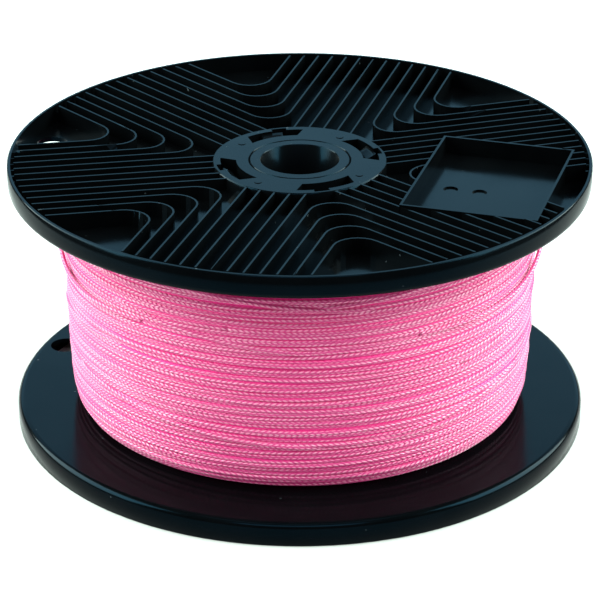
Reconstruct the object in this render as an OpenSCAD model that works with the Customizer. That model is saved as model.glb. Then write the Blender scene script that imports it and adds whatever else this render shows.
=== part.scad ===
// Spool of braided fishing line: two equal ribbed plastic flanges that twist-lock onto a
// core sleeve, and a full winding of braided line between them.
// The spool stands on its lower flange. Z is the spool's axis, and +X runs from the axis
// through the middle of the label tray; the line-end hole is on the opposite side.

/* [Flange] */
// Diameter of both flanges
flange_d = 220; // [120:1:320]
// Height of the flange's rim band
flange_t = 9; // [6:0.5:14]
// Thickness of the rim wall
rim_wall = 1.3; // [1:0.1:5]
// Thickness of the flange's web
web_t = 1.8; // [1.2:0.1:3]
// Depth of the rib tops below the rim's edge, at the rim
rib_drop = 0.3; // [0:0.05:2]
// Depth of the rib tops below the hub face, at the hub
rib_dip = 0.15; // [0:0.05:1]
// Spacing of the parallel ribs
rib_pitch = 5.7; // [4:0.1:9]
// Thickness of a rib
rib_w = 0.7; // [0.6:0.05:2]
// Radius of the bend in a rib's centre line
rib_bend_r = 9; // [4:0.5:14]
// Radius of the rounding on the rim's inner-side edge
rim_round = 2.4; // [0.5:0.1:4]
// Height of the chamfers on the rim, the hub and the sleeve
edge_chamfer = 0.4; // [0.2:0.1:1]

/* [Label tray] */
// Outer size of the tray along the radius
tray_len = 50.8; // [30:0.2:60]
// Outer size of the tray across the radius
tray_wide = 69.4; // [40:0.2:80]
// Distance of the tray's middle from the axis
tray_at = 73; // [60:0.5:80]
// Thickness of the tray's walls
tray_wall = 0.9; // [0.8:0.1:2]
// Depth of the tray's walls below the rim's edge
tray_drop = 0.75; // [0:0.05:2]
// Thickness of the tray's floor
tray_floor = 1.4; // [1:0.1:3]
// Diameter of the two round recesses in the tray's floor
recess_d = 5.5; // [3:0.5:8]
// Depth of those recesses
recess_depth = 0.6; // [0.2:0.1:1]

/* [Hub and twist lock] */
// Outer diameter of the flange's hub
hub_d = 66; // [50:1:80]
// Depth of the hub face below the rim's edge
hub_drop = 2.25; // [0:0.25:4]
// Diameter of the spool's bore
bore_d = 29.4; // [16:0.2:50]
// Outer diameter of the core sleeve
sleeve_d = 38.1; // [30:0.1:46]
// Clearance between the sleeve and a flange, on the radius
sleeve_gap = 0.07; // [0.01:0.01:0.1]
// Angle at which the first lock window starts, at its outer edge
window_start = 14; // [0:0.1:60]
// Angle that a lock window spans at its outer edge
window_span = 44.4; // [36:0.2:56]
// Angle by which a window starts later at its inner edge
start_lean = 4.6; // [0:0.1:6]
// Angle by which a window ends later at its inner edge
end_lean = 6.7; // [0:0.1:10]
// Angle from a window's start to its entry notch
notch_from = 12.3; // [10:0.1:16]
// Angle that the entry notch spans
notch_span = 10.7; // [9:0.1:12]
// Angle that the hook is turned from the notch when locked
lock_turn = 11; // [10:0.5:16]

/* [Line] */
// Overall width of the spool
spool_w = 106; // [60:1:160]
// Angle by which the lower end is turned against the upper end
lower_turn = 2.6; // [-10:0.1:10]
// Outer diameter of the barrel the line is wound on
barrel_d = 110; // [80:1:150]
// Diameter of the braided line
line_d = 1.7; // [0.8:0.05:3]
// Outer diameter of the winding, at its upper end
winding_d = 179.6; // [120:0.2:200]

/* [Hidden] */
$fn = 96;
eps = 1;                                    // overlap that keeps cuts and joins clean
flange_r = flange_d / 2;
tray_top = flange_t - tray_drop;
hub_top = flange_t - hub_drop;
hub_r = hub_d / 2;
sleeve_r = sleeve_d / 2;
hub_bore_r = sleeve_r + sleeve_gap;
rim_in_r = flange_r - rim_wall;
rib_root = 0.4;                             // how far the ribs reach into the rim wall
rib_end_r = rim_in_r + rib_root;
rib_step_in = 1.3;                          // the rib tops step down just before the rim
rib_step_down = 3;
rib_foot = web_t / 2;
arm_count = 6;
arm_step = 360 / arm_count;
arm_half = arm_step / 2;
bend_angle = 180 - arm_step;
straight_ribs = 2;                          // on each side of an arm's middle rib
bent_ribs = 6;                              // the last pair that bends into the next arm
bend_steps = 8;
round_steps = 4;
line_hole_r = 6;
line_hole_at = 100;
recess_r = recess_d / 2;
recess_at = [58.6, 69.6];
nub_r = 1.4;
nub_h = 0.2;
nub_at = 27;
nub_angle = 57.5;
window_in = 24;
window_out = 30;
notch_out = 31.8;
window_count = 4;
window_step = 360 / window_count;
window_steps = 12;
groove_low = 2.1;
groove_high = 4.7;
running = 0.3;                              // gap between parts that turn on each other
post_in = 25.5;
post_out = 29.6;
post_span = 17;
post_low = 3.9;
post_high = 6;
tooth_out = 31.4;
tooth_span = 8;
tooth_start = notch_from + (notch_span - tooth_span) / 2 + lock_turn;
post_lead = 9;                              // angle from a hook post's start to its tooth
post_start = tooth_start - post_lead;
groove_start = notch_from + notch_span / 2;
groove_slack = 1;                           // angle the groove runs on past the locked tooth
groove_span = tooth_start + tooth_span + groove_slack - groove_start;
bore_edge = 0.3;
barrel_wall = 3;
barrel_r = barrel_d / 2;
spoke_w = 2.5;
spoke_count = 4;
spoke_angle = 45;
collar_wall = 2.5;
seat_gap = 0.05;                            // gap between parts that are fixed together
latch_ring_t = 3;
inner_low = flange_t + running;
inner_high = spool_w - flange_t - running;
winding_r = winding_d / 2;

// [radius lost, height above the winding's lower end], from the foot upwards
winding_foot = [[6.8, 0], [4.2, 1.8], [2.4, 4.5], [1.4, 10], [0.8, 20], [0.4, 36], [0, 60]];

// The turn of line that has slipped off the winding: [angle, radius, height]
loose_path = [[-31, 90.8, 69.2], [-18, 90.8, 69.3], [-6, 91.1, 70.4], [2, 91.6, 72.6],
              [9, 92.2, 76], [17, 92.6, 80.2], [28, 92.8, 85], [46, 92.2, 89.5], [68, 91.2, 91.8],
              [90, 90.8, 92.6], [112, 90.8, 92.8], [134, 90.8, 92.4], [154, 91, 90.8],
              [172, 91.4, 87.4], [187, 91.5, 83], [199, 91.4, 78.4], [207, 91.3, 74],
              [214, 91.1, 70.8], [222, 90.9, 69.4], [233, 90.8, 69.4]];
loose_sub = 4;
cord_sides = 8;
plastic = [0.07, 0.12, 0.16];
core_plastic = [0.10, 0.15, 0.19];
line_pink = [0.93, 0.42, 0.66];

function polar(r, a) = [r * cos(a), r * sin(a)];

// Quarter circle of the rim's inner-side edge, from the web's face to the outer wall
rim_corner = [for (i = [0:round_steps])
    [flange_r - rim_round, rim_round] + polar(rim_round, -90 + 90 * i / round_steps)];

// Length of a bent rib's leg from its sharp apex to the rim
function leg_end(o) = sqrt(rib_end_r * rib_end_r - o * o) - 2 * o * cos(arm_half);

// One side of a bent rib: leg, bend and leg, shifted by s from the centre line
function bent_side(o, s) = let (
        apex = [2 * o, 0],
        centre = [2 * o + 2 * rib_bend_r, 0],
        far = leg_end(o),
        out = polar(1, 90 + arm_half))
    concat([apex + polar(far, arm_half) + s * out],
           [for (i = [0:bend_steps])
               centre + polar(rib_bend_r + s, 90 + arm_half + bend_angle * i / bend_steps)],
           [apex + polar(far, -arm_half) + s * [out[0], -out[1]]]);

function reversed(v) = [for (i = [len(v) - 1:-1:0]) v[i]];

module bent_rib(o) {
    polygon(concat(bent_side(o, rib_w / 2), reversed(bent_side(o, -rib_w / 2))));
}

module straight_rib(o) {
    start = sqrt((hub_r - eps) * (hub_r - eps) - o * o);
    end = sqrt(rib_end_r * rib_end_r - o * o);
    translate([start, o - rib_w / 2]) square([end - start, rib_w]);
}

// Solid that holds the ribs: its top falls from the rim to the hub and steps down at the rim
module rib_room() {
    step_r = rim_in_r - rib_step_in;
    rib_top = flange_t - rib_drop;
    rotate_extrude() polygon([
        [hub_r - eps, rib_foot], [flange_r, rib_foot], [flange_r, rib_top - rib_step_down],
        [step_r, rib_top - rib_step_down], [step_r, rib_top], [hub_r, hub_top - rib_dip],
        [hub_r - eps, hub_top - rib_dip]]);
}

module ribs() {
    intersection() {
        rib_room();
        linear_extrude(flange_t) for (k = [0:arm_count - 1]) rotate(k * arm_step) {
            for (j = [straight_ribs + 1:bent_ribs]) bent_rib(j * rib_pitch);
            rotate(arm_half) for (j = [-straight_ribs:straight_ribs]) straight_rib(j * rib_pitch);
        }
    }
}

// Part of a ring between two radii, two heights and two angles
module sector(r1, r2, z1, z2, a, span) {
    rotate([0, 0, a]) rotate_extrude(angle = span) translate([r1, z1]) square([r2 - r1, z2 - z1]);
}

// Points along an arc, from angle a over the given span
function arc(r, a, span) = [for (i = [0:window_steps]) polar(r, a + span * i / window_steps)];

module lock_windows() {
    inner_span = window_span + end_lean - start_lean;
    for (k = [0:window_count - 1]) rotate([0, 0, window_start + k * window_step]) {
        translate([0, 0, -eps]) linear_extrude(hub_top + 2 * eps) polygon(concat(
            arc(window_out, 0, window_span), reversed(arc(window_in, start_lean, inner_span))));
        sector(window_out - eps, notch_out, -eps, hub_top + eps, notch_from, notch_span);
        sector(window_out - eps, notch_out, groove_low, groove_high, groove_start, groove_span);
    }
}

module flange_disc() {
    c = edge_chamfer;
    rotate_extrude() polygon(concat(
        [[hub_bore_r, 0]], rim_corner,
        [[flange_r, flange_t - c], [flange_r - c, flange_t], [rim_in_r, flange_t],
         [rim_in_r, web_t], [hub_r, web_t], [hub_r, hub_top - c],
         [hub_r - c, hub_top], [hub_bore_r + c, hub_top], [hub_bore_r, hub_top - c]]));
}

module tray_box(inset, low, high) {
    translate([tray_at - tray_len / 2 + inset, inset - tray_wide / 2, low])
        cube([tray_len - 2 * inset, tray_wide - 2 * inset, high - low]);
}

// One flange moulding, web down and ribs up
module flange() {
    difference() {
        union() {
            flange_disc();
            ribs();
            tray_box(0, rib_foot, tray_top);
            for (k = [0:window_count - 1])
                rotate([0, 0, nub_angle + window_start + k * window_step])
                translate([nub_at, 0, hub_top - eps]) cylinder(r = nub_r, h = eps + nub_h);
        }
        tray_box(tray_wall, tray_floor, flange_t + eps);
        tray_box(0, tray_top, flange_t + eps);
        for (x = recess_at) translate([x, 0, tray_floor - recess_depth])
            cylinder(r = recess_r, h = flange_t);
        translate([-line_hole_at, 0, -eps]) cylinder(r = line_hole_r, h = flange_t);
        lock_windows();
    }
}

// Ring with the four hooks that hold one flange, hooks up; z = 0 is the flange's inner face
module latch_ring() {
    difference() {
        union() {
            translate([0, 0, -running - latch_ring_t])
                cylinder(r = hub_r, h = latch_ring_t);
            for (k = [0:window_count - 1]) rotate([0, 0, window_start + k * window_step]) {
                rotate([0, 0, post_start]) rotate_extrude(angle = post_span)
                    polygon([[post_in, -eps], [post_out, -eps], [post_out, post_high],
                             [post_in, post_low]]);
                sector(post_out - eps, tooth_out, groove_low + running, groove_high - running,
                       tooth_start, tooth_span);
            }
        }
        translate([0, 0, -running - latch_ring_t - eps])
            cylinder(r = sleeve_r + seat_gap, h = latch_ring_t + 2 * eps);
    }
}

// Puts a piece drawn for the upper flange at the upper or the lower end
module at_upper() { translate([0, 0, spool_w - flange_t]) children(); }
module at_lower() { translate([0, 0, flange_t]) rotate([180, 0, -lower_turn]) children(); }

module lower_flange() { color(plastic) at_lower() flange(); }
module upper_flange() { color(plastic) at_upper() flange(); }
module lower_latch_ring() { color(core_plastic) at_lower() latch_ring(); }
module upper_latch_ring() { color(core_plastic) at_upper() latch_ring(); }

module core_sleeve() {
    b = bore_edge;
    c = edge_chamfer;
    bore_r = bore_d / 2;
    low = hub_drop;
    high = spool_w - hub_drop;
    color(core_plastic) rotate_extrude() polygon([
        [bore_r, low + b], [bore_r + b, low], [sleeve_r - c, low], [sleeve_r, low + c],
        [sleeve_r, high - c], [sleeve_r - c, high], [bore_r + b, high], [bore_r, high - b]]);
}

module winding_barrel() {
    tall = inner_high - inner_low;
    barrel_in = barrel_r - barrel_wall;
    collar_in = sleeve_r + seat_gap;
    ring_seat = latch_ring_t + seat_gap;
    color(core_plastic) difference() {
        translate([0, 0, inner_low]) union() {
            difference() {
                cylinder(r = barrel_r, h = tall);
                translate([0, 0, -eps]) cylinder(r = barrel_in, h = tall + 2 * eps);
            }
            cylinder(r = collar_in + collar_wall, h = tall);
            for (k = [0:spoke_count - 1]) rotate([0, 0, spoke_angle + k * 360 / spoke_count])
                translate([collar_in + eps, -spoke_w / 2, 0])
                    cube([barrel_in - collar_in, spoke_w, tall]);
        }
        translate([0, 0, inner_low - eps]) cylinder(r = collar_in, h = tall + 2 * eps);
        for (z = [inner_low - eps, inner_high - ring_seat])
            translate([0, 0, z]) cylinder(r = hub_r + seat_gap, h = ring_seat + eps);
    }
}

module line_winding() {
    color(line_pink) translate([0, 0, inner_low]) rotate_extrude() polygon(concat(
        [[barrel_r + seat_gap, 0]],
        [for (p = winding_foot) [winding_r - p[0], p[1]]],
        [[winding_r, inner_high - inner_low], [barrel_r + seat_gap, inner_high - inner_low]]));
}

// Smooth curve through the loose turn's points
function knot(i) = loose_path[max(0, min(len(loose_path) - 1, i))];
function along(i, t) = let (a = knot(i - 1), b = knot(i), c = knot(i + 1), d = knot(i + 2))
    b + t * (c - a) / 2 + t * t * (a - 2.5 * b + 2 * c - d / 2)
      + t * t * t * (1.5 * b - 1.5 * c + (d - a) / 2);
function cylindrical(p) = [p[1] * cos(p[0]), p[1] * sin(p[0]), p[2]];
loose_points = [for (i = [0:len(loose_path) - 2]) for (s = [0:loose_sub - 1])
                    cylindrical(along(i, s / loose_sub)),
                cylindrical(loose_path[len(loose_path) - 1])];

function unit(v) = v / norm(v);
function cord_ring(i) = let (
        n = len(loose_points),
        t = unit(loose_points[min(n - 1, i + 1)] - loose_points[max(0, i - 1)]),
        side = unit(cross([0, 0, 1], t)),
        up = cross(t, side))
    [for (k = [0:cord_sides - 1]) loose_points[i]
        + line_d / 2 * (cos(k * 360 / cord_sides) * side + sin(k * 360 / cord_sides) * up)];

module line_loose_turn() {
    n = len(loose_points);
    m = cord_sides;
    skin = [for (i = [0:n - 2]) for (k = [0:m - 1])
        [i * m + k, (i + 1) * m + k, (i + 1) * m + (k + 1) % m, i * m + (k + 1) % m]];
    ends = [[for (k = [0:m - 1]) k], [for (k = [m - 1:-1:0]) (n - 1) * m + k]];
    color(line_pink) polyhedron(points = [for (i = [0:n - 1]) each cord_ring(i)],
                                faces = concat(skin, ends));
}

lower_flange();
upper_flange();
core_sleeve();
winding_barrel();
lower_latch_ring();
upper_latch_ring();
line_winding();
line_loose_turn();
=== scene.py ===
"""Looks of the braided fishing line spool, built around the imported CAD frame.

The moulded plastic pieces stay as the CAD nodes, with a moulded-plastic material. The line's
plain solids are replaced by wound turns of braided line.
"""

import math

import bpy
import numpy as np
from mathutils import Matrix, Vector


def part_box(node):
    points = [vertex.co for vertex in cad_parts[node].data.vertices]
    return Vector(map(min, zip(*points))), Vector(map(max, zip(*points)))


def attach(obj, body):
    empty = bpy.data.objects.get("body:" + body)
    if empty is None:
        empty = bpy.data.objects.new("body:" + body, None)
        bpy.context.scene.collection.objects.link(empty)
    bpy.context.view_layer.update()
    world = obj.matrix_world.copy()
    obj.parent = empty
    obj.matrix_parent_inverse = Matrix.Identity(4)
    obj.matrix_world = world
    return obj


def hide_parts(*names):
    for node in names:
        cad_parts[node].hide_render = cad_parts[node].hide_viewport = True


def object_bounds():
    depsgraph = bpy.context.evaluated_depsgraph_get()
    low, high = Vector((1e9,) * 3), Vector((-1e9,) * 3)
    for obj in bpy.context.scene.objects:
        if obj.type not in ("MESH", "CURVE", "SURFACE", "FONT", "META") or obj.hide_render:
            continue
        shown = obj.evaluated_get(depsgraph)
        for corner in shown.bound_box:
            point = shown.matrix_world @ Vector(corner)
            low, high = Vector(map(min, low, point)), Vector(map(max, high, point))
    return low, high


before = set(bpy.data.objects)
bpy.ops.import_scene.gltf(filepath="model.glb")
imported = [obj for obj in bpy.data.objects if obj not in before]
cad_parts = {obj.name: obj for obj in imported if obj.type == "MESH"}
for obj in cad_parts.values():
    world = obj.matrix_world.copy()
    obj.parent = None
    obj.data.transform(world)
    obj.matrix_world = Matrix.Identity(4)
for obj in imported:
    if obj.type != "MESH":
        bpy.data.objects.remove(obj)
cad_low, cad_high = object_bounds()

MM = 0.001
TAU = 2 * math.pi
RNG = np.random.default_rng(41)

LINE_D = 1.75 * MM  # diameter of the braided line
STITCH = 2.1 * MM  # length of one stitch of the braid, along the line
BRAID_COLUMNS = 4  # columns of stitches around the line
TWIST_LENGTH = 260 * MM  # length of line in which its braid turns once about itself
TURN_STEPS = 216  # rings in one turn of the winding
TURN_SIDES = 10  # corners of the line's cross-section
BANDS = 4  # pieces that the outer layer's one line is built in
TURN_PITCH = 0.985 * LINE_D  # spacing of the turns of the outer layer

# How the turns wander up and down: [size, waves around the spool, drift from turn to turn] of
# the waves that neighbours share, and [size, waves in one turn] of each turn's own
SHARED_WANDER = [(0.42 * MM, 1, 0.31), (0.3 * MM, 2, -0.43), (0.16 * MM, 5, 0.77)]
OWN_WANDER = [(0.18 * MM, 0.43), (0.13 * MM, 1.37), (0.09 * MM, 3.29), (0.05 * MM, 7.71)]
# How they lie higher and lower in the layer, and by how much all of them lie lower
LIFT_WANDER = [(0.18 * MM, 0.61), (0.15 * MM, 1.73), (0.08 * MM, 4.4)]
MEAN_SINK = 0.16 * MM
FULL_SINK = 0.6 * MM  # a turn this much lower counts as fully recessed, which adds painted crevice shade
CALM_TURNS = 2.5  # turns at either end over which the wandering sets in
LOOSENESS = (0.68, 0.32)  # mean share of the wandering, and how it changes around the spool

CROSSING_FINENESS = 1.5  # rings of a crossing stretch against those of a turn
CROSSING_DIVES = 7  # a crossing stretch dives within one part in this many of its length
CROSSING_CLIMB = 1.25  # in line diameters, from its buried ends up to its crown
CROSSING_SINK = 1.0  # depth of its ends, in line diameters

LAYER_STEPS = 4  # points across one turn of the layer below
LAYER_COLUMNS = 144  # points around the layer below
LAYER_DEPTH = 0.66  # depth of that layer between two turns, in line diameters
LAYER_RIDGE = 0.2  # height of its ridges, in line diameters
# painted crevice shade for the layer below: it paints that layer all in the crevice shade pink
LAYER_SHADE = 0.3
BARREL_GAP = 0.1 * MM

LOOSE_D = 0.97 * LINE_D  # the slipped turn is pulled a little thinner
LOOSE_SIDES = 12
LOOSE_STEPS = 14  # rings between two of the slipped turn's points
TUCK_DEPTH = 0.9 * LINE_D  # how far its ends go in between the turns
TUCK_ANGLE = 14  # degrees
TUCK_RISE = 0.3  # mm

CAMERA_AZIMUTH = -73.6  # degrees, from +X; the label tray is on +X
CAMERA_RISE = 25.16  # degrees above the horizon
CAMERA_DISTANCE = 1.0018
CAMERA_LENS = 155.9
CAMERA_SHIFT = (0.0004, -0.0321)
SENSOR_WIDTH = 36
FLOOR_REACH = 6.0
WELD_GAP = 0.001 * MM
WORLD_COLOUR = (0.7, 0.88, 1.0, 1)
WORLD_STRENGTH = 0.08


# ---------------------------------------------------------------- meshes


def new_object(name, mesh):
    obj = bpy.data.objects.new(name, mesh)
    bpy.context.scene.collection.objects.link(obj)
    return obj


def grid_mesh(name, grid, maps, wrap_rows=False):
    """A smooth closed mesh from a rows x columns grid of points whose columns close up.

    maps holds UV layers by name, with one more column than grid. wrap_rows joins the last row
    to the first; otherwise the two end rows are capped.
    """
    rows, cols = grid.shape[:2]
    spans = rows if wrap_rows else rows - 1
    i, j = np.meshgrid(np.arange(spans), np.arange(cols), indexing="ij")
    i2, j2 = (i + 1) % rows, (j + 1) % cols
    corners = np.stack([i * cols + j, i * cols + j2, i2 * cols + j2, i2 * cols + j], -1)
    faces = corners.reshape(-1, 4).tolist()
    if not wrap_rows:
        faces += [list(range(cols))[::-1], [(rows - 1) * cols + k for k in range(cols)]]
    mesh = bpy.data.meshes.new(name)
    mesh.from_pydata(grid.reshape(-1, 3).tolist(), [], faces)
    for map_name, uv in maps.items():
        flat = np.stack([uv[i, j], uv[i, j + 1], uv[i + 1, j + 1], uv[i + 1, j]], 2).reshape(-1, 2)
        if not wrap_rows:
            flat = np.vstack([flat, uv[0, :cols][::-1], uv[-1, :cols]])
        layer = mesh.uv_layers.new(name=map_name)
        layer.data.foreach_set("uv", flat.astype(np.float32).ravel())
    mesh.polygons.foreach_set("use_smooth", [True] * len(faces))
    mesh.update()
    return mesh


def line_tube(name, centres, radius, sides, turn_phase=0.0, recess=0.0, start=0.0):
    """Braided line along centres, with its braid's stitches counted along U and around V.

    The depth layer holds the place around the line, from its outermost side, and the recess; they
    set where the painted crevice shade falls.
    start is the length of line that comes before the first centre.
    """
    tangent = np.gradient(centres, axis=0)
    tangent /= np.linalg.norm(tangent, axis=1)[:, None]
    outward = centres * [1, 1, 0]
    outward -= (outward * tangent).sum(1)[:, None] * tangent
    outward /= np.linalg.norm(outward, axis=1)[:, None]
    upward = np.cross(tangent, outward)
    angle = np.arange(sides) / sides * TAU
    ring = (
        np.cos(angle)[None, :, None] * outward[:, None]
        + np.sin(angle)[None, :, None] * upward[:, None]
    )
    grid = centres[:, None] + radius * ring
    steps = np.linalg.norm(np.diff(centres, axis=0), axis=1)
    length = start + np.concatenate([[0], np.cumsum(steps)])
    around = np.arange(sides + 1) / sides
    braid = np.empty((len(centres), sides + 1, 2))
    braid[..., 0] = (length / STITCH)[:, None]
    braid[..., 1] = around[None] + (length / TWIST_LENGTH + turn_phase)[:, None]
    depth = np.zeros_like(braid)
    depth[..., 0] = around[None]
    depth[..., 1] = np.broadcast_to(recess, len(centres))[:, None]
    return grid_mesh(name, grid, {"UVMap": braid, "depth": depth})


# ---------------------------------------------------------------- the winding


def outer_profile(node):
    """Heights and outer radii of a turned CAD node, from its lowest to its highest ring."""
    points = np.array([v.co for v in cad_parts[node].data.vertices])
    radius = np.hypot(points[:, 0], points[:, 1])
    height = np.round(points[:, 2], 5)
    levels = np.unique(height)
    return levels, np.array([radius[height == z].max() for z in levels])


WIND_Z, WIND_R = outer_profile("line_winding")
WIND_LOW, WIND_HIGH = WIND_Z[0], WIND_Z[-1]


def surface_radius(z):
    return np.interp(z, WIND_Z, WIND_R)


def wander(theta, waves, own):
    """Smooth wandering of the turns: waves that neighbours share, and a part of each turn's own."""
    out = np.zeros_like(theta)
    for size, lobes, drift in waves:
        out += size * np.sin(lobes * theta + drift * theta / TAU + RNG.uniform(0, TAU))
    for size, rate in own:
        out += size * np.sin(rate * theta + RNG.uniform(0, TAU))
    return out


def turn_centres(theta, z, lift):
    radius = surface_radius(z) - LINE_D / 2 + lift
    return np.stack([radius * np.cos(theta), radius * np.sin(theta), z], 1)


def wound_turns():
    """The outer layer: one continuous helix of line from the lower flange to the upper one."""
    room = WIND_HIGH - WIND_LOW - LINE_D
    turns = int(room / TURN_PITCH)
    theta = np.linspace(0, TAU * turns, turns * TURN_STEPS + 1)
    height = theta / (TAU * turns)
    calm = np.clip(np.minimum(height, 1 - height) * turns / CALM_TURNS, 0, 1)
    mean, change = LOOSENESS
    looseness = mean + change * np.cos(theta - math.radians(CAMERA_AZIMUTH))
    z = WIND_LOW + LINE_D / 2 + room * height
    z += calm * looseness * wander(theta, SHARED_WANDER, OWN_WANDER)
    lift = looseness * wander(theta, [], LIFT_WANDER) - MEAN_SINK
    # how far each turn lies sunk, which adds painted crevice shade
    recess = np.clip(-lift / FULL_SINK, 0, 1)
    return turn_centres(theta, z, lift), recess


def crossing_turn(start, span, z_start, z_end):
    """A stretch of line that crosses over the turns below it and dips back between them."""
    steps = int(abs(span) / TAU * TURN_STEPS * CROSSING_FINENESS)
    t = np.linspace(0, 1, steps)
    ease = t * t * (3 - 2 * t)
    risen = np.clip(np.minimum(t, 1 - t) * CROSSING_DIVES, 0, 1)
    lift = LINE_D * (CROSSING_CLIMB * risen - CROSSING_SINK)
    return turn_centres(start + span * t, z_start + (z_end - z_start) * ease, lift)


def layer_below():
    """The top of the next layer down, which shows between the outer turns, painted all over with
    the crevice shade pink.
    """
    rows = int((WIND_HIGH - WIND_LOW) / LINE_D) * LAYER_STEPS
    z = np.linspace(WIND_LOW, WIND_HIGH, rows)
    ridge = np.abs(np.sin(np.pi * (z - WIND_LOW) / LINE_D))
    radius = surface_radius(z) - LINE_D * (LAYER_DEPTH - LAYER_RIDGE * ridge)
    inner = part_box("winding_barrel")[1].x + BARREL_GAP
    z = np.concatenate([[WIND_LOW], z, [WIND_HIGH]])
    radius = np.concatenate([[inner], radius, [inner]])
    angle = np.linspace(0, TAU, LAYER_COLUMNS + 1)[:-1]
    out, up = radius[:, None], np.repeat(z[:, None], len(angle), 1)
    grid = np.stack([out * np.cos(angle), out * np.sin(angle), up], -1)
    braid = np.empty((len(z) + 1, len(angle) + 1, 2))
    braid[..., 0] = np.linspace(0, TAU * WIND_R.max() / STITCH, len(angle) + 1)[None]
    braid[..., 1] = np.append(z, z[-1])[:, None] / (2 * LINE_D)
    # painted shade: the whole layer gets the full crevice shade
    depth = np.full_like(braid, LAYER_SHADE)
    maps = {"UVMap": braid, "depth": depth}
    return grid_mesh("winding_under_layer", grid, maps, wrap_rows=True)


# ---------------------------------------------------------------- the loose turn

# [angle in degrees, radius in mm, height in mm], as in the CAD
LOOSE_PATH = [
    (-31, 90.8, 69.2), (-18, 90.8, 69.3), (-6, 91.1, 70.4), (2, 91.6, 72.6),
    (9, 92.2, 76), (17, 92.6, 80.2), (28, 92.8, 85), (46, 92.2, 89.5), (68, 91.2, 91.8),
    (90, 90.8, 92.6), (112, 90.8, 92.8), (134, 90.8, 92.4), (154, 91, 90.8),
    (172, 91.4, 87.4), (187, 91.5, 83), (199, 91.4, 78.4), (207, 91.3, 74),
    (214, 91.1, 70.8), (222, 90.9, 69.4), (233, 90.8, 69.4),
]  # fmt: skip


def smooth_path(points, steps):
    """Catmull-Rom curve through points, with steps rings between two of them."""
    p = np.vstack([points[:1], points, points[-1:]])
    out = []
    for a, b, c, d in zip(p, p[1:], p[2:], p[3:]):
        for t in np.arange(steps) / steps:
            linear = t * (c - a) / 2
            square = t * t * (a - 2.5 * b + 2 * c - d / 2)
            cube = t**3 * (1.5 * b - 1.5 * c + (d - a) / 2)
            out.append(b + linear + square + cube)
    return np.array(out + [points[-1]])


def loose_turn_centres():
    """The slipped turn, with both ends tucked in between the turns of the winding."""
    tuck = np.array([TUCK_ANGLE, TUCK_DEPTH / MM, TUCK_RISE])
    first, last = LOOSE_PATH[0] - tuck, LOOSE_PATH[-1] + tuck * [1, -1, 1]
    curve = smooth_path(np.vstack([first, LOOSE_PATH, last]), LOOSE_STEPS)
    angle, radius, z = np.radians(curve[:, 0]), curve[:, 1] * MM, curve[:, 2] * MM
    return np.stack([radius * np.cos(angle), radius * np.sin(angle), z], 1)


# ---------------------------------------------------------------- materials

# Linear colours; a pair is the two ends of a slow colour variation
FLANGE_TINTS = (0.0010, 0.0013, 0.0016, 1), (0.0006, 0.0008, 0.0010, 1)
CORE_TINTS = (0.0012, 0.0016, 0.0020, 1), (0.0008, 0.0011, 0.0014, 1)
FLANGE_ROUGHNESS = 0.15
CORE_ROUGHNESS = 0.18
DUST = (0.12, 0.15, 0.17, 1)
STITCH_PINKS = (0.52, 0.17, 0.28, 1), (0.56, 0.21, 0.32, 1)
GAP_SHADE_PINK = (0.40, 0.004, 0.12, 1)  # painted shade between two stitches
CREVICE_SHADE_PINK = (0.66, 0.003, 0.18, 1)  # painted shade between two turns: on the line's sides against its neighbours, its inner side and sunk turns
PAINTED_GLOW = (1.0, 0.0, 0.28, 1)  # painted glow: a constant pink emission that stands in for light passing through the fibres
FLOOR_TINTS = (0.42, 0.42, 0.42, 1), (0.44, 0.44, 0.44, 1)
FLOOR_ROUGHNESS = 0.9
FLOOR_GLOSS = 0.1
STITCH_SLANT = 0.75  # in stitches, across one column
STITCH_STAGGER = 0.62  # in stitches, between two columns
STITCH_CROWN = 0.55  # exponents that flatten a stitch along the line and across it
STITCH_CHEEK = 0.4
STITCH_EDGE = (0.58, 0.95)  # relief between which the painted shade of the gaps turns into the stitch's colour
CREVICE_SHADE_EDGE = (0.42, 0.86)  # how far inward the painted crevice shade begins and is full
# how much painted crevice shade a sunk turn gets on top of its sides' shade
RECESS_SHADE_WEIGHT = 0.45
LINE_ROUGHNESS = (0.7, 0.33)  # in the gaps and on the crowns
CREVICE_ROUGHNESS = 0.35  # what a crevice adds to it
LINE_GLOSS = 0.7
LINE_SHEEN = 0.28
LINE_SHEEN_ROUGHNESS = 0.3
SHEEN_TINT = (1.0, 0.9, 0.96, 1)
# strength of the painted glow
PAINTED_GLOW_STRENGTH = 0.08
STITCH_DEPTH = 0.34 * MM
FIBRE_DEPTH = 0.02 * MM

PLASTIC_GLOSS = 0.045
PLASTIC_REFLECTION = (0.13, 0.58, 1.0, 1)
PLASTIC_UNEVEN = (-0.03, 0.05)  # how far its roughness wanders
PEEL_DEPTH = 0.03 * MM
GRAIN_DEPTH = 0.01 * MM
DUST_EDGE = (0.79, 0.82)  # noise between which a spot of dust appears
DUST_COVER = 0.25
FINE_BUMP = 0.3  # strengths of the bumps
PEEL_BUMP = 0.25

# Noise, in features per metre, and the part of its range that colour variation uses
PLASTIC_CLOUDS = 45.0
PINK_CLOUDS = 60.0
FLOOR_CLOUDS = 3.0
ORANGE_PEEL = 260.0
PLASTIC_GRAIN = 900.0
DUST_SPOTS = 420.0
FIBRES = 5200.0
CLOUD_EDGE = (0.35, 0.65)
GLOSS_EDGE = (0.3, 0.7)


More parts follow.
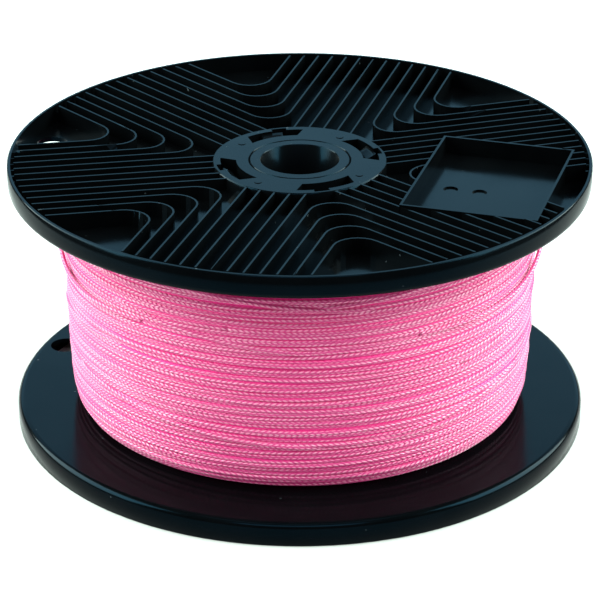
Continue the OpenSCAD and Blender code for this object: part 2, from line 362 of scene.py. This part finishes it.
class Nodes:
    """Short names for building one material's node tree."""

    def __init__(self, name):
        self.material = bpy.data.materials.new(name)
        self.material.use_nodes = True
        self.tree = self.material.node_tree
        self.shader = self.tree.nodes["Principled BSDF"]

    def add(self, kind, **values):
        node = self.tree.nodes.new(kind)
        for key, value in values.items():
            setattr(node, key, value)
        return node

    def link(self, output, socket):
        self.tree.links.new(output, socket)

    def math(self, operation, *values):
        node = self.add("ShaderNodeMath", operation=operation)
        for socket, value in zip(node.inputs, values):
            if isinstance(value, (int, float)):
                socket.default_value = value
            else:
                self.link(value, socket)
        return node.outputs[0]

    def remap(self, value, low, high, to_low, to_high):
        node = self.add("ShaderNodeMapRange")
        self.link(value, node.inputs["Value"])
        for name, number in (
            ("From Min", low),
            ("From Max", high),
            ("To Min", to_low),
            ("To Max", to_high),
        ):
            node.inputs[name].default_value = number
        return node.outputs["Result"]

    def mix(self, factor, first, second):
        node = self.add("ShaderNodeMix", data_type="RGBA")
        factor_socket, first_socket, second_socket = (node.inputs[i] for i in (0, 6, 7))
        pairs = (factor_socket, factor), (first_socket, first), (second_socket, second)
        for socket, value in pairs:
            if isinstance(value, (int, float, tuple)):
                socket.default_value = value
            else:
                self.link(value, socket)
        return node.outputs[2]

    def noise(self, where, scale, detail=3.0):
        node = self.add("ShaderNodeTexNoise")
        self.link(where, node.inputs["Vector"])
        node.inputs["Scale"].default_value = scale
        node.inputs["Detail"].default_value = detail
        return node.outputs["Fac"]

    def bump(self, height, distance, strength, normal=None):
        node = self.add("ShaderNodeBump")
        self.link(height, node.inputs["Height"])
        node.inputs["Distance"].default_value = distance
        node.inputs["Strength"].default_value = strength
        if normal is not None:
            self.link(normal, node.inputs["Normal"])
        return node.outputs["Normal"]


def moulded_plastic(name, tints, roughness):
    """Black injection-moulded plastic: a cool tint, uneven gloss, orange peel and fine dust."""
    n = Nodes(name)
    place = n.add("ShaderNodeTexCoord").outputs["Object"]
    cloud = n.noise(place, PLASTIC_CLOUDS)
    grain = n.noise(place, PLASTIC_GRAIN, 2.0)
    peel = n.noise(place, ORANGE_PEEL, 2.0)
    dust = n.remap(n.noise(place, DUST_SPOTS, 1.0), *DUST_EDGE, 0.0, DUST_COVER)
    tint = n.mix(n.remap(cloud, *CLOUD_EDGE, 0, 1), *tints)
    n.link(n.mix(dust, tint, DUST), n.shader.inputs["Base Color"])
    glossy, matt = (roughness + change for change in PLASTIC_UNEVEN)
    uneven = n.remap(cloud, *GLOSS_EDGE, glossy, matt)
    n.link(n.math("ADD", uneven, dust), n.shader.inputs["Roughness"])
    n.shader.inputs["Specular IOR Level"].default_value = PLASTIC_GLOSS
    n.shader.inputs["Specular Tint"].default_value = PLASTIC_REFLECTION
    soft = n.bump(peel, PEEL_DEPTH, PEEL_BUMP)
    n.link(n.bump(grain, GRAIN_DEPTH, FINE_BUMP, soft), n.shader.inputs["Normal"])
    return n.material


def braided_line():
    """Pink braid: slanted stitches in columns around the line, with painted shade where they dive
    under and between the turns, and a painted glow.
    """
    n = Nodes("braided_line")
    uv = n.add("ShaderNodeSeparateXYZ")
    n.link(n.add("ShaderNodeUVMap", uv_map="UVMap").outputs["UV"], uv.inputs[0])
    along, around = uv.outputs["X"], n.math("MULTIPLY", uv.outputs["Y"], float(BRAID_COLUMNS))
    column = n.math("FLOOR", around)
    across = n.math("FRACT", around)
    side = n.math("PINGPONG", column, 1.0)
    slant = n.math("SUBTRACT", n.math("MULTIPLY", side, 2.0), 1.0)
    shifted = n.math("MULTIPLY_ADD", n.math("MULTIPLY", slant, across), STITCH_SLANT, along)
    stitch = n.math("FRACT", n.math("ADD", shifted, n.math("MULTIPLY", side, STITCH_STAGGER)))
    crown = n.math("SINE", n.math("MULTIPLY", stitch, math.pi))
    cheek = n.math("SINE", n.math("MULTIPLY", across, math.pi))
    crown = n.math("POWER", crown, STITCH_CROWN)
    relief = n.math("MULTIPLY", crown, n.math("POWER", cheek, STITCH_CHEEK))
    place = n.add("ShaderNodeTexCoord").outputs["Object"]
    cloud = n.noise(place, PINK_CLOUDS)
    fibre = n.noise(place, FIBRES, 2.0)
    sides = n.add("ShaderNodeSeparateXYZ")
    n.link(n.add("ShaderNodeUVMap", uv_map="depth").outputs["UV"], sides.inputs[0])
    # painted shade: the line's sides and inner side, and sunk turns, get the crevice shade pink
    inward = n.math("SINE", n.math("MULTIPLY", sides.outputs["X"], math.pi))
    shade_depth = n.math("MULTIPLY_ADD", sides.outputs["Y"], RECESS_SHADE_WEIGHT, inward)
    crevice_shade = n.remap(shade_depth, *CREVICE_SHADE_EDGE, 0, 1)
    crowns = n.mix(n.remap(cloud, *CLOUD_EDGE, 0, 1), *STITCH_PINKS)
    # painted shade: the gaps between stitches get a darker pink
    stitched = n.mix(n.remap(relief, *STITCH_EDGE, 0, 1), GAP_SHADE_PINK, crowns)
    colour = n.mix(crevice_shade, stitched, CREVICE_SHADE_PINK)
    n.link(colour, n.shader.inputs["Base Color"])
    smooth = n.remap(relief, 0, 1, *LINE_ROUGHNESS)
    rough = n.math("MULTIPLY_ADD", crevice_shade, CREVICE_ROUGHNESS, smooth)
    n.link(rough, n.shader.inputs["Roughness"])
    # the emission below is a painted glow: the line glows though it is no lamp
    for socket, value in (
        ("Sheen Weight", LINE_SHEEN),
        ("Sheen Roughness", LINE_SHEEN_ROUGHNESS),
        ("Sheen Tint", SHEEN_TINT),
        ("Specular IOR Level", LINE_GLOSS),
        ("Emission Color", PAINTED_GLOW),
        ("Emission Strength", PAINTED_GLOW_STRENGTH),
    ):
        n.shader.inputs[socket].default_value = value
    fine = n.bump(fibre, FIBRE_DEPTH, FINE_BUMP)
    n.link(n.bump(relief, STITCH_DEPTH, 1.0, fine), n.shader.inputs["Normal"])
    return n.material


def plain_floor():
    n = Nodes("floor")
    place = n.add("ShaderNodeTexCoord").outputs["Object"]
    n.link(n.mix(n.noise(place, FLOOR_CLOUDS), *FLOOR_TINTS), n.shader.inputs["Base Color"])
    n.shader.inputs["Roughness"].default_value = FLOOR_ROUGHNESS
    n.shader.inputs["Specular IOR Level"].default_value = FLOOR_GLOSS
    return n.material


# ---------------------------------------------------------------- pieces


def finish_cad_node(node, material):
    """Keeps a CAD node's shape, welds its mesh's doubled points and sets its material."""
    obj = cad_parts[node]
    obj.data.materials.clear()
    obj.data.materials.append(material)
    weld = obj.modifiers.new("weld", "WELD")
    weld.merge_threshold = WELD_GAP


def add_piece(name, mesh, material, body, slot, *replaced):
    obj = new_object(name, mesh)
    mesh.materials.append(material)
    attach(obj, body)
    if replaced:
        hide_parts(*replaced)
    return obj


plastic = moulded_plastic("flange_plastic", FLANGE_TINTS, FLANGE_ROUGHNESS)
core_plastic = moulded_plastic("core_plastic", CORE_TINTS, CORE_ROUGHNESS)
pink = braided_line()

for flange in ("lower_flange", "upper_flange"):
    finish_cad_node(flange, plastic)
for node in ("core_sleeve", "winding_barrel", "lower_latch_ring", "upper_latch_ring"):
    finish_cad_node(node, core_plastic)

add_piece("winding_under_layer", layer_below(), pink, "core", "braided_line", "line_winding")
turn_path, turn_recess = wound_turns()
band_ends = np.linspace(0, len(turn_path) - 1, BANDS + 1).astype(int)
wound_length = 0.0
for number, (first, last) in enumerate(zip(band_ends, band_ends[1:])):
    centres, recess = turn_path[first : last + 1], turn_recess[first : last + 1]
    name = f"winding_band_{number + 1}"
    band = line_tube(name, centres, LINE_D / 2, TURN_SIDES, 0.0, recess, wound_length)
    add_piece(name, band, pink, "core", "braided_line")
    wound_length += np.linalg.norm(np.diff(centres, axis=0), axis=1).sum()

PHASE_STEP = 0.37  # part of a turn about itself by which each stretch's braid differs

# [start angle, span, start height, end height] of the crossing stretches: degrees and mm
CROSSINGS = [
    (-62, 88, 30, 41), (-40, 70, 52, 60), (-128, 64, 74, 66), (-150, 90, 36, 28),
    (-110, 58, 88, 82), (20, 120, 20, 33), (95, 110, 70, 55), (150, 95, 44, 56),
    (-75, 60, 84, 90), (60, 80, 84, 76),
]  # fmt: skip
for number, (start, span, low, high) in enumerate(CROSSINGS):
    centres = crossing_turn(math.radians(start), math.radians(span), low * MM, high * MM)
    name = f"crossing_turn_{number + 1}"
    tube = line_tube(name, centres, LINE_D / 2, TURN_SIDES, number * PHASE_STEP)
    add_piece(name, tube, pink, "core", "braided_line")

loose = line_tube("loose_turn", loose_turn_centres(), LOOSE_D / 2, LOOSE_SIDES)
add_piece("loose_turn", loose, pink, "core", "braided_line", "line_loose_turn")


# ---------------------------------------------------------------- stage


def direction(azimuth, rise):
    a, e = math.radians(azimuth), math.radians(rise)
    return Vector((math.cos(a) * math.cos(e), math.sin(a) * math.cos(e), math.sin(e)))


def add_floor():
    reach = FLOOR_REACH
    corners = [(-reach, -reach, 0), (reach, -reach, 0), (reach, reach, 0), (-reach, reach, 0)]
    mesh = bpy.data.meshes.new("floor")
    mesh.from_pydata(corners, [], [(0, 1, 2, 3)])
    mesh.materials.append(plain_floor())
    floor = new_object("floor", mesh)


def add_softbox(name, azimuth, rise, distance, size, watts, colour, aim):
    light = bpy.data.lights.new(name, "AREA")
    light.shape = "RECTANGLE"
    light.size, light.size_y = size
    light.energy = watts
    light.color = colour
    obj = bpy.data.objects.new(name, light)
    bpy.context.scene.collection.objects.link(obj)
    obj.location = aim + direction(azimuth, rise) * distance
    obj.rotation_euler = (aim - obj.location).to_track_quat("-Z", "Y").to_euler()


def add_camera(aim):
    camera = bpy.data.cameras.new("camera")
    camera.lens = CAMERA_LENS
    camera.sensor_width = SENSOR_WIDTH
    camera.shift_x, camera.shift_y = CAMERA_SHIFT
    obj = bpy.data.objects.new("camera", camera)
    bpy.context.scene.collection.objects.link(obj)
    obj.location = aim + direction(CAMERA_AZIMUTH, CAMERA_RISE) * CAMERA_DISTANCE
    obj.rotation_euler = (aim - obj.location).to_track_quat("-Z", "Y").to_euler()
    bpy.context.scene.camera = obj


def add_world(colour, strength):
    world = bpy.data.worlds.new("studio")
    world.use_nodes = True
    background = world.node_tree.nodes["Background"]
    background.inputs["Color"].default_value = colour
    background.inputs["Strength"].default_value = strength
    bpy.context.scene.world = world


WHITE = (1.0, 0.97, 0.99)
SIDE_WHITE = (0.84, 1.0, 0.9)
BLUE = (0.3, 0.72, 1.0)

# [azimuth from the camera's, rise, distance, size, watts, colour]: degrees and metres
SOFTBOXES = {
    "left": (-94, 30, 1.1, (1.2, 0.7), 56, SIDE_WHITE),
    "right": (94, 30, 1.1, (1.2, 0.7), 56, SIDE_WHITE),
    "front": (0, 44, 1.4, (1.0, 0.5), 10.5, WHITE),
    "top": (180, 86, 1.6, (1.2, 1.2), 9, WHITE),
    "back": (180, 27, 1.5, (2.6, 1.0), 16, BLUE),
}

middle = Vector((0, 0, (cad_low.z + cad_high.z) / 2))
add_floor()
add_camera(middle)
add_world(WORLD_COLOUR, WORLD_STRENGTH)
for name, (turn, rise, distance, size, watts, colour) in SOFTBOXES.items():
    add_softbox(name, CAMERA_AZIMUTH + turn, rise, distance, size, watts, colour, middle)
bpy.context.scene.view_settings.view_transform = "Standard"
